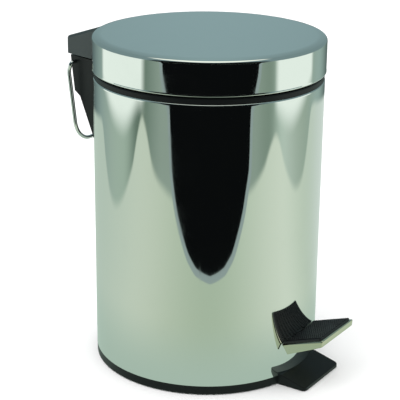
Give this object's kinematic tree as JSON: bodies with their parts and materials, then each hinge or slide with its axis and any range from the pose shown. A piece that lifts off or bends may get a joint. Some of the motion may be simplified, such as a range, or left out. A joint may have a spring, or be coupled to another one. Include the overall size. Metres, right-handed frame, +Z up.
{
  "type": "pedal trash can",
  "caption": "Small round polished steel pedal trash can with hinged lid, lift-out bucket, sloped foot pedal and wire carry handle.",
  "frame": {"origin": "on the floor under the axis of the round steel shell", "axes": "+Z up along the shell's axis, -Y towards the foot pedal, +Y towards the hinge and carry handle, X along the hinge axis"},
  "size_m": [0.1718, 0.2336, 0.2498],
  "materials": {
    "polished_steel": "mirror-polished stainless sheet",
    "pedal_steel": "polished pressed steel with fine scratches",
    "chrome_wire": "bright chromed wire",
    "zinc_steel": "zinc-plated, slightly dull",
    "black_plastic": "satin moulded plastic with fine grain",
    "bucket_plastic": "moulded plastic, slightly glossy",
    "black_rubber": "matte rubber with fine ribs"
  },
  "bodies": {
    "housing": {"body_shell": "polished_steel", "rim_ring": "black_plastic", "base_tray": "black_plastic", "lever_axle": "zinc_steel", "axle_clips": "zinc_steel", "bucket": "bucket_plastic", "bucket_handle": "chrome_wire", "hinge_bracket": "black_plastic", "bracket_screws": "zinc_steel", "hinge_pin": "zinc_steel", "pin_clip": "zinc_steel"},
    "lid": {"lid_cap": "polished_steel", "lid_liner": "black_plastic", "lid_bumpers": "black_rubber", "hinge_cover": "black_plastic", "cover_screws": "zinc_steel", "lid_arm": "zinc_steel", "arm_screws": "zinc_steel"},
    "push_rod": {"push_rod": "zinc_steel", "rod_collar": "zinc_steel", "rod_clip": "zinc_steel"},
    "pedal": {"pedal_lever": "zinc_steel", "pedal_rivets": "zinc_steel", "pedal_plate": "pedal_steel", "pedal_pad": "black_rubber"},
    "carry_handle": {"carry_handle": "chrome_wire"}
  },
  "joints": [
    {"name": "lid_open", "type": "hinge", "parent": "housing", "child": "lid", "pos_m": [0, 0.1085, 0.217], "axis": [-1, 0, 0], "range_deg": [0, 75]},
    {"name": "rod_hook", "type": "hinge", "parent": "lid", "child": "push_rod", "pos_m": [0, 0.094, 0.209], "axis": [-1, 0, 0], "range_deg": [-75, 0]},
    {"name": "pedal_press", "type": "hinge", "parent": "housing", "child": "pedal", "pos_m": [0, -0.06, 0.014], "axis": [1, 0, 0], "range_deg": [0, 8.4]},
    {"name": "handle_swing", "type": "hinge", "parent": "housing", "child": "carry_handle", "pos_m": [0, 0.11, 0.2166], "axis": [1, 0, 0], "range_deg": [0, 105]}
  ],
  "couplings": [
    {"joint": "rod_hook", "follows": "lid_open", "ratio": -1},
    {"joint": "pedal_press", "follows": "lid_open", "ratio": 0.112}
  ]
}
